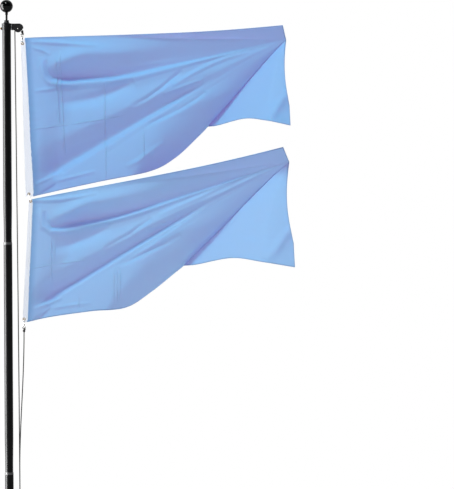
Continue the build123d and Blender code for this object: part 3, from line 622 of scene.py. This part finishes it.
# a pair of numbers is a rise from 0 to 1: where it starts and how long it is
folding = {
    "fanLevel": 0.12, "relief": 2, "tiny": 1e-9, "sagPower": 1.5,
    # from near folds to fly folds, later for the upper folds
    "upperPlace": (0.25, 0.1), "nearStart": 0.25, "upperLater": 0.17, "nearLength": 0.2, "upperLonger": 0.15,
    # folds grow out of the seam, the lower ones at once
    "lowerPlace": (0.5, 0.3), "upperStart": 0.05, "upperFade": 0.13, "lowerFade": 0.10,
    # the upper folds level out near the hoist, and the top one opens from a point
    "upperEnd": 0.75, "levelling": 0.1, "levelIn": (0, 0.3), "levelOut": (0.45, 0.3), "levelReach": (0, 0.45),
    "valley": 0.36, "opening": 2.0, "openReach": (0, 0.24),
    # the fold beside the long ridge, from its crest to the edge that opens
    "crest": 1.03, "openEdge": 1.40, "shutEdge": 0.72, "leastEdge": 0.05, "ridge": 1.83, "ridgeKnot": 6,
    "bowPower": 2.2, "bowLeast": 0.07, "bowIn": (0.4, 0.4), "bowOut": (0.9, 0.9),
    "cornerCurl": 0.03, "curlAlong": (0.92, 0.08), "curlDown": (0.6, 0.3),
    "bulgeSpan": 0.68, "bulgePower": 6,
    # a small ridge is left out this many widths past its ends and to its sides
    "ridgeEnds": 2, "ridgeSides": 3,
}
cloth = {
    "columns": 280, "rows": 160, "thickness": 0.0012, "seamGap": 0.0003, "hem": 0.012, "flyHem": 0.020,
    # the turned edges show as darker lines, partly from the thicker cloth and partly painted shade, and beside the
    # heading painted shade darkens the cloth, fading over 45 mm
    "edgeLine": 0.005, "edgeFade": 0.002, "hoistShade": (-0.01, 0.045),
    "puckerDepth": 0.0009, "puckerLength": 0.042, "puckerReach": 0.035, "puckerIn": 0.006,
    "puckerSway": 3, "puckerDrift": 9, "puckerSeed": 2,
    "rippleDepth": 0.0011, "rippleIn": 0.05, "rippleAlong": 5, "rippleDown": 16, "rippleLean": 3,
}
nylon = {
    "pitch": 0.0012, "strength": 0.2, "depth": 0.0002, "roughness": 0.6, "specular": 0.15, "through": 0.55,
    "creaseHalf": 0.007, "creaseDepth": 0.003, "creaseStrength": 1.0, "creaseBefore": 0.01, "creaseWithin": 0.04,
}


def smoothAt(points, t):
    # a smooth line through evenly spaced points, read at the share t of its length
    last = len(points) - 1
    span = min(int(t * last), last - 1)
    s = t * last - span
    before, start = points[max(span - 1, 0)], points[span]
    end, after = points[span + 1], points[min(span + 2, last)]
    return tuple(
        b + 0.5 * s * (c - a + s * (2 * a - 5 * b + 4 * c - d + s * (3 * (b - c) + d - a)))
        for a, b, c, d in zip(before, start, end, after)
    )


def eased(t):
    t = min(max(t, 0), 1)
    return t * t * (3 - 2 * t)


def rise(name, value):
    start, length = folding[name]
    return eased((value - start) / length)


def foldDepth(folds, q):
    # a smooth line through the profile's points that never overshoots a crest or a valley
    last = len(folds) - 2
    span = next((i for i in range(last + 1) if q <= folds[i + 1][0]), last)

    def grade(i):
        return (folds[i + 1][1] - folds[i][1]) / (folds[i + 1][0] - folds[i][0]) if 0 <= i <= last else 0

    def lean(before, after):
        return 2 * before * after / (before + after) if before * after > 0 else 0

    (low, start), (high, end) = folds[span], folds[span + 1]
    width = high - low
    s = min(max((q - low) / width, 0), 1)
    here = grade(span)
    into, out = lean(grade(span - 1), here) * width, lean(here, grade(span + 1)) * width
    return start + s * (into + s * (3 * (end - start) - 2 * into - out + s * (2 * (start - end) + into + out)))


def lerp(a, b, t):
    return tuple(p + (q - p) * t for p, q in zip(a, b))


def foldPlace(q, u, t):
    # near the hoist the upper folds level out, and the fold beside the ridge opens towards the bottom edge
    if q < folding["upperEnd"]:
        share = rise("levelIn", q) * (1 - rise("levelOut", q))
        place = q + folding["levelling"] * share * (1 - rise("levelReach", u))
        valley = folding["valley"]
        if 0 < place < valley:
            # the top fold opens upwards from a point near the hoist
            place = valley * (place / valley) ** (1 + folding["opening"] * (1 - rise("openReach", u)))
        return place
    crest, ridge, openEdge = folding["crest"], folding["ridge"], folding["openEdge"]
    if q <= crest or q >= ridge:
        return q
    edge = max(folding["shutEdge"] + (openEdge - folding["shutEdge"]) * t, crest + folding["leastEdge"])
    if q < edge:
        return crest + (openEdge - crest) * (q - crest) / (edge - crest)
    return ridge - (ridge - openEdge) * (ridge - q) / (ridge - edge)


def raySlope(flag, x, z):
    return (flag["fan"][2] - z) / (flag["fan"][0] - x)


def flagPoint(flag, u, v):
    # t is the share of the way from the fan's point to the rim, and q the place across the folds
    reach = 1 - u
    level = folding["fanLevel"]
    drop = v - level
    top = (flag["seamTop"][0] + cloth["seamGap"], 0, flag["seamTop"][1])
    foot = (flag["seamBottom"][0] + cloth["seamGap"], 0, flag["seamBottom"][1])
    t = max(reach, drop / (1 - level), -drop / level)
    if t < folding["tiny"]:
        return flag["fan"]
    if reach >= t - folding["tiny"]:
        q = level + drop / t
        rim = lerp(top, foot, q)
    elif drop > 0:
        along = 1 - reach / t
        rim = smoothAt(flag["bottom"], along)
        last = len(flag["bottom"]) - 1
        past = along * last - folding["ridgeKnot"]
        if past < 0:
            head, heel = raySlope(flag, top[0], top[2]), raySlope(flag, foot[0], foot[2])
            q = min((raySlope(flag, rim[0], rim[2]) - head) / (heel - head), folding["ridge"])
        else:
            q = folding["ridge"] + past / (last - folding["ridgeKnot"])
    else:
        along = 1 - reach / t
        rim, q = lerp(top, flag["flyTop"], along), -along
        rim = (rim[0], rim[1], rim[2] - flag["topSag"] * math.sin(math.pi * along ** folding["sagPower"]))
    x, depth, z = lerp(flag["fan"], rim, t)
    lower = rise("lowerPlace", q)
    start = folding["upperStart"] * (1 - lower)
    fade = folding["upperFade"] + (folding["lowerFade"] - folding["upperFade"]) * lower
    bow = flag["bow"] * ((1 - t) ** folding["bowPower"] + folding["bowLeast"]) * rise("bowIn", q)
    place = foldPlace(q + bow * (1 - rise("bowOut", q)), u, t)
    upper = 1 - rise("upperPlace", place)
    ahead = (t if drop > 0 else reach) - folding["nearStart"] - folding["upperLater"] * upper
    near = eased(ahead / (folding["nearLength"] + folding["upperLonger"] * upper))
    fold = foldDepth(nearFolds, place) * near + foldDepth(flyFolds, place) * (1 - near)
    depth += fold * folding["relief"] * t * eased((u - start) / fade)
    depth -= folding["cornerCurl"] * rise("curlAlong", u) * rise("curlDown", v)
    inward = math.sin(math.pi * min(max((v - level) / folding["bulgeSpan"], 0), 1))
    x -= flag["flyBulge"] * inward * u ** folding["bulgePower"]
    return (x, depth, z)


def ridgeHeight(ridges, x, z):
    # how far the small ridges lift the cloth at a place, tapering to nothing at both ends of each
    lift = 0
    for height, width, line in ridges:
        beyond = folding["ridgeEnds"] * width
        if not (line[0][0] - beyond < x < line[-1][0] + beyond):
            continue
        best, spot = math.inf, 0
        for i, ((xa, za), (xb, zb)) in enumerate(zip(line, line[1:])):
            long = (xb - xa) ** 2 + (zb - za) ** 2
            part = min(max(((x - xa) * (xb - xa) + (z - za) * (zb - za)) / long, 0), 1)
            away = math.hypot(x - xa - part * (xb - xa), z - za - part * (zb - za))
            if away < best:
                best, spot = away, (i + part) / (len(line) - 1)
        if best < folding["ridgeSides"] * width:
            lift += height * math.exp(-(best / width) ** 2) * math.sqrt(math.sin(math.pi * spot))
    return lift


def addCrease(tree, spot, start, end):
    # the height of one straight crease: a sharp ridge that fades out at both ends
    long = math.dist(start, end)
    way = ((end[0] - start[0]) / long, 0, (end[1] - start[1]) / long)
    over = (-way[2], 0, way[0])
    origin = (start[0], 0, start[1])
    before, within = nylon["creaseBefore"], nylon["creaseWithin"]
    gap = addNode(tree, "ShaderNodeVectorMath", {"operation": "SUBTRACT", 1: origin}, {0: spot})
    side = addNode(tree, "ShaderNodeVectorMath", {"operation": "DOT_PRODUCT", 1: over}, {0: gap.outputs[0]})
    along = addNode(tree, "ShaderNodeVectorMath", {"operation": "DOT_PRODUCT", 1: way}, {0: gap.outputs[0]})
    away = addMath(tree, "ABSOLUTE", side.outputs["Value"])
    peak = addNode(tree, "ShaderNodeMapRange", {"From Max": nylon["creaseHalf"], "To Min": 1.0, "To Max": 0.0},
                   {"Value": away.outputs[0]})
    first = addNode(tree, "ShaderNodeMapRange", {"From Min": -before, "From Max": within},
                    {"Value": along.outputs["Value"]})
    final = addNode(tree, "ShaderNodeMapRange", {"From Min": long + before, "From Max": long - within},
                    {"Value": along.outputs["Value"]})
    ends = addMath(tree, "MULTIPLY", first.outputs["Result"], final.outputs["Result"])
    return addMath(tree, "MULTIPLY", peak.outputs["Result"], ends.outputs[0])


def makeFlagNylon(flag):
    # plain-woven nylon: blue thread that lets a violet light through, so the folds turn violet and not grey
    material, tree, output = startMaterial(flag["name"] + "BlueNylon")
    place = addNode(tree, "ShaderNodeTexCoord")
    uv = addNode(tree, "ShaderNodeUVMap", {"uv_map": "clothUV"})
    split = addNode(tree, "ShaderNodeSeparateXYZ", links={0: uv.outputs["UV"]})
    threads = []
    for axis in ("X", "Y"):
        # threads 0.3 mm apart are too fine to show, so the weave is drawn at 1.2 mm
        run = addMath(tree, "MULTIPLY", split.outputs[axis], 1 / nylon["pitch"])
        wave = addMath(tree, "PINGPONG", run.outputs[0], 0.5)
        threads.append(wave.outputs[0])
    weave = addMath(tree, "ADD", threads[0], threads[1])
    bump = addNode(tree, "ShaderNodeBump", {"Strength": nylon["strength"], "Distance": nylon["depth"]},
                   {"Height": weave.outputs[0]})

    # creases from the pack, drawn higher and wider than real so that they show
    folded = None
    for start, end in flag["creases"]:
        crease = addCrease(tree, place.outputs["Object"], start, end)
        if folded is None:
            folded = crease
        else:
            folded = addMath(tree, "MAXIMUM", folded.outputs[0], crease.outputs[0])
    creased = addNode(tree, "ShaderNodeBump",
                      {"Strength": nylon["creaseStrength"], "Distance": nylon["creaseDepth"]},
                      {"Height": folded.outputs[0], "Normal": bump.outputs["Normal"]})

    # the hems' turned edges are thick and let less light through, and are drawn darker with painted shade; beside the
    # heading lies a wider band of painted shade
    long, wide = flag["flat"]
    hems = []
    line = (cloth["edgeLine"] - cloth["edgeFade"], cloth["edgeLine"] + cloth["edgeFade"])
    edges = (("Y", 0, line), ("Y", wide, line), ("X", 0, cloth["hoistShade"]), ("X", long, line))
    for axis, far, (full, gone) in edges:
        gap = addMath(tree, "SUBTRACT", split.outputs[axis], far)
        away = addMath(tree, "ABSOLUTE", gap.outputs[0])
        dark = addNode(tree, "ShaderNodeMapRange", {"From Min": full, "From Max": gone, "To Min": 1.0, "To Max": 0.0},
                       {"Value": away.outputs[0]})
        hems.append(dark.outputs["Result"])
    ends = [addMath(tree, "MAXIMUM", one, other)
            for one, other in (hems[:2], hems[2:])]
    hem = addMath(tree, "MAXIMUM", ends[0].outputs[0], ends[1].outputs[0])
    tones = []
    for plain, hemmed in (("blue", "hemAndShadeBlue"), ("violet", "hemAndShadeViolet")):
        tone = addNode(tree, "ShaderNodeMix",
                       {"data_type": "RGBA", "A": hexColor(flag[plain]), "B": hexColor(flag[hemmed])},
                       {"Factor": hem.outputs[0]})
        tones.append(tone.outputs["Result"])
    front = addNode(tree, "ShaderNodeBsdfPrincipled",
                    {"Roughness": nylon["roughness"], "Specular IOR Level": nylon["specular"]},
                    {"Base Color": tones[0], "Normal": creased.outputs["Normal"]})
    through = addNode(tree, "ShaderNodeBsdfTranslucent",
                      links={"Color": tones[1], "Normal": creased.outputs["Normal"]})
    mix = addNode(tree, "ShaderNodeMixShader", {"Fac": nylon["through"]},
                  {1: front.outputs[0], 2: through.outputs[0]})
    tree.links.new(mix.outputs[0], output.inputs["Surface"])
    return material


def makeFlag(flag):
    deselectAll()
    columns, rows = cloth["columns"], cloth["rows"]
    bpy.ops.mesh.primitive_grid_add(x_subdivisions=columns, y_subdivisions=rows, size=2, calc_uvs=True)
    piece = bpy.context.object
    piece.name = flag["name"]
    mesh = piece.data
    long, wide = flag["flat"]
    layer = mesh.uv_layers[0]
    layer.name = "clothUV"
    # u runs from the hoist to the fly, v from the top edge down
    uvs = [(0.5 + 0.5 * vertex.co.x, 0.5 - 0.5 * vertex.co.y) for vertex in mesh.vertices]
    for loop in mesh.loops:
        u, v = uvs[loop.vertex_index]
        layer.data[loop.index].uv = (u * long, v * wide)
    seam = flag["seamTop"][1] - flag["seamBottom"][1]
    for vertex, (u, v) in zip(mesh.vertices, uvs):
        x, depth, z = flagPoint(flag, u, v)
        depth += ridgeHeight(flag["ridges"], x, z)
        # the seam gathers the cloth a little, and soft ripples run along the flag
        drift = cloth["puckerSway"] * noise.noise((v * cloth["puckerDrift"], 0, cloth["puckerSeed"]))
        pucker = math.sin(2 * math.pi * v * seam / cloth["puckerLength"] + drift)
        inward = math.exp(-u * long / cloth["puckerReach"])
        depth += cloth["puckerDepth"] * pucker * inward * eased(u / cloth["puckerIn"])
        lean = v * cloth["rippleDown"] + u * cloth["rippleLean"]
        ripple = noise.noise((u * cloth["rippleAlong"], lean, flag["seamTop"][1]))
        depth += cloth["rippleDepth"] * ripple * eased(u / cloth["rippleIn"])
        vertex.co = (x, -depth, z)
    mesh.materials.append(makeFlagNylon(flag))

    # the hems are double
    hemmed = piece.vertex_groups.new(name="hemmed")
    double, single = [], []
    for i, (u, v) in enumerate(uvs):
        inHem = min(v, 1 - v) * wide < cloth["hem"] or (1 - u) * long < cloth["flyHem"]
        (double if inHem else single).append(i)
    hemmed.add(double, 1.0, "REPLACE")
    hemmed.add(single, 0.5, "REPLACE")
    solid = piece.modifiers.new("thickness", "SOLIDIFY")
    solid.thickness = 2 * cloth["thickness"]
    solid.offset = 0
    solid.vertex_group = "hemmed"
    bpy.ops.object.modifier_apply(modifier="thickness")
    bpy.ops.object.shade_smooth()
    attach(piece, "flags")
    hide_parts(flag["node"])


# Headings: doubled canvas strips, sewn over the flag's edge

upperHeading = {
    "name": "upperHeading", "node": "upper_heading", "flat": (0.037, 0.924),
    "corners": ((0.0835, 6.007), (0.106, 6.014), (0.151, 5.078), (0.107, 5.078)),
    "holes": ((0.0932, 5.9803), (0.126, 5.092)), "grommets": ["upper_top_grommet", "upper_bottom_grommet"],
}
lowerHeading = {
    "name": "lowerHeading", "node": "lower_heading", "flat": (0.028, 0.725),
    "corners": ((0.126, 5.062), (0.146, 5.062), (0.110, 4.337), (0.0835, 4.337)),
    "holes": ((0.136, 5.050), (0.0932, 4.3547)), "grommets": ["lower_top_grommet", "lower_bottom_grommet"],
}
strip = {
    "rows": 110, "across": 9, "thickness": 0.003, "edge": 0.25, "lap": 0.004,
    "wave": 0.0005, "waveDown": 9, "waveAcross": 2, "softAngle": 40,
    "holeRadius": 0.00612, "holeSides": 32, "punchDepth": 0.02,
}
stitch = {
    "pitch": 0.005, "length": 0.0036, "radius": 0.00035, "sides": 5, "lift": 0.0002, "margin": 0.006,
    # the edge that each row follows, 1 the seam's and 0 the hoist's, and its distance from it
    "rows": ((1, 0.0035), (1, 0.0085), (0, 0.004)),
    # one stitch rises from the cloth and goes back in
    "arch": ((-1, -0.6), (0, 1), (1, -0.6)),
}
weft = {
    "scale": 500.0, "gap": 0.02, "light": "f2f6ff", "dark": "eaf0fd", "gapTint": "dde4f2",
    "strength": 0.2, "depth": 0.0003, "roughness": 0.85, "specular": 0.2,
}


def stripSides(heading, w):
    topLeft, topRight, bottomRight, bottomLeft = heading["corners"]
    left, right = lerp(topLeft, bottomLeft, w), lerp(topRight, bottomRight, w)
    return left, right, right[0] + strip["lap"] - left[0]


def stripPoint(heading, s, w):
    # s runs from the hoist edge to the seam edge, w down the strip
    left, right, width = stripSides(heading, w)
    return left[0] + width * s, left[1] + (right[1] - left[1]) * s


def stripSway(s, w):
    return strip["wave"] * math.sin(strip["waveDown"] * w + strip["waveAcross"] * s) * math.sin(math.pi * w)


def stripHalf(s):
    rim = min(s, 1 - s) / strip["edge"]
    return strip["thickness"] / 2 * (math.sqrt(1 - (1 - rim) ** 2) if rim < 1 else 1)


def makeCanvas():
    # plain-woven cotton canvas with a blue brightener: a cool white without gloss, in threads of 1.0 by 0.5 mm
    material, tree, output = startMaterial("wovenWhiteCanvas")
    place = addNode(tree, "ShaderNodeTexCoord")
    split = addNode(tree, "ShaderNodeSeparateXYZ", links={0: place.outputs["Object"]})
    flat = addNode(tree, "ShaderNodeCombineXYZ", links={0: split.outputs["X"], 1: split.outputs["Z"]})
    weave = addNode(tree, "ShaderNodeTexBrick", {
        "Scale": weft["scale"], "Mortar Size": weft["gap"], "Color1": hexColor(weft["light"]),
        "Color2": hexColor(weft["dark"]), "Mortar": hexColor(weft["gapTint"]),
    }, {"Vector": flat.outputs[0]})
    bump = addNode(tree, "ShaderNodeBump", {"Strength": weft["strength"], "Distance": weft["depth"]},
                   {"Height": weave.outputs["Fac"]})
    shader = addNode(tree, "ShaderNodeBsdfPrincipled",
                     {"Roughness": weft["roughness"], "Specular IOR Level": weft["specular"]},
                     {"Base Color": weave.outputs["Color"], "Normal": bump.outputs["Normal"]})
    tree.links.new(shader.outputs[0], output.inputs["Surface"])
    return material


def makeHeading(heading, material, thread):
    places, faces = [], []
    across, rows = strip["across"], strip["rows"]
    ring = [(i / across, 1) for i in range(across + 1)] + [(i / across, -1) for i in range(across - 1, 0, -1)]
    for row in range(rows + 1):
        w = row / rows
        for s, face in ring:
            # closer points at the rounded edges
            s = 0.5 - 0.5 * math.cos(math.pi * s)
            x, z = stripPoint(heading, s, w)
            places.append((x, -face * stripHalf(s) + stripSway(s, w), z))
    size = len(ring)
    for row in range(rows):
        for k in range(size):
            after = (k + 1) % size
            faces.append((row * size + k, (row + 1) * size + k, (row + 1) * size + after, row * size + after))
    faces.append(tuple(range(size)))
    faces.append(tuple(reversed(range(rows * size, (rows + 1) * size))))
    mesh = bpy.data.meshes.new(heading["name"])
    mesh.from_pydata(places, [], faces)
    mesh.materials.append(material)
    piece = bpy.data.objects.new(heading["name"], mesh)
    bpy.context.collection.objects.link(piece)
    for x, z in heading["holes"]:
        deselectAll()
        bpy.ops.mesh.primitive_cylinder_add(vertices=strip["holeSides"], radius=strip["holeRadius"],
                                            depth=strip["punchDepth"], location=(x, 0, z),
                                            rotation=(math.pi / 2, 0, 0))
        punch = bpy.context.object
        deselectAll()
        piece.select_set(True)
        bpy.context.view_layer.objects.active = piece
        hole = piece.modifiers.new("hole", "BOOLEAN")
        hole.object = punch
        hole.operation = "DIFFERENCE"
        hole.solver = "EXACT"
        bpy.ops.object.modifier_apply(modifier="hole")
        bpy.data.objects.remove(punch)
    bpy.ops.object.shade_smooth_by_angle(angle=math.radians(strip["softAngle"]))
    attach(piece, "flags")
    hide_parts(heading["node"])

    # lockstitches along the seam and the hoist edge, on both faces
    lines = []
    high, low = heading["corners"][0][1], heading["corners"][3][1]
    count = int((high - low - 2 * stitch["margin"]) / stitch["pitch"])
    half = stitch["length"] / 2 / (high - low)
    for edge, inset in stitch["rows"]:
        for i in range(count):
            w = (stitch["margin"] + (i + 0.5) * stitch["pitch"]) / (high - low)
            s = abs(edge - inset / stripSides(heading, w)[2])
            for face in (1, -1):
                line = []
                for step, lift in stitch["arch"]:
                    x, z = stripPoint(heading, s, w + step * half)
                    depth = -face * (stripHalf(s) + stitch["lift"] * lift) + stripSway(s, w)
                    line.append(Vector((x, depth, z)))
                lines.append(line)
    sewing = makeTube(heading["name"] + "Stitches", lines, stitch["radius"], stitch["sides"], thread)
    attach(sewing, "flags")


canvas = makeCanvas()
# twisted polyester thread: white like the canvas, with a little more gloss
thread = makePlain("whitePolyesterThread", "f2f4fa", roughness=0.55, grain=0.00005, grainSize=0.0005)
for flag, heading in ((upperFlag, upperHeading), (lowerFlag, lowerHeading)):
    makeHeading(heading, canvas, thread)
    makeFlag(flag)
print("headings are sewn and flags are hung")
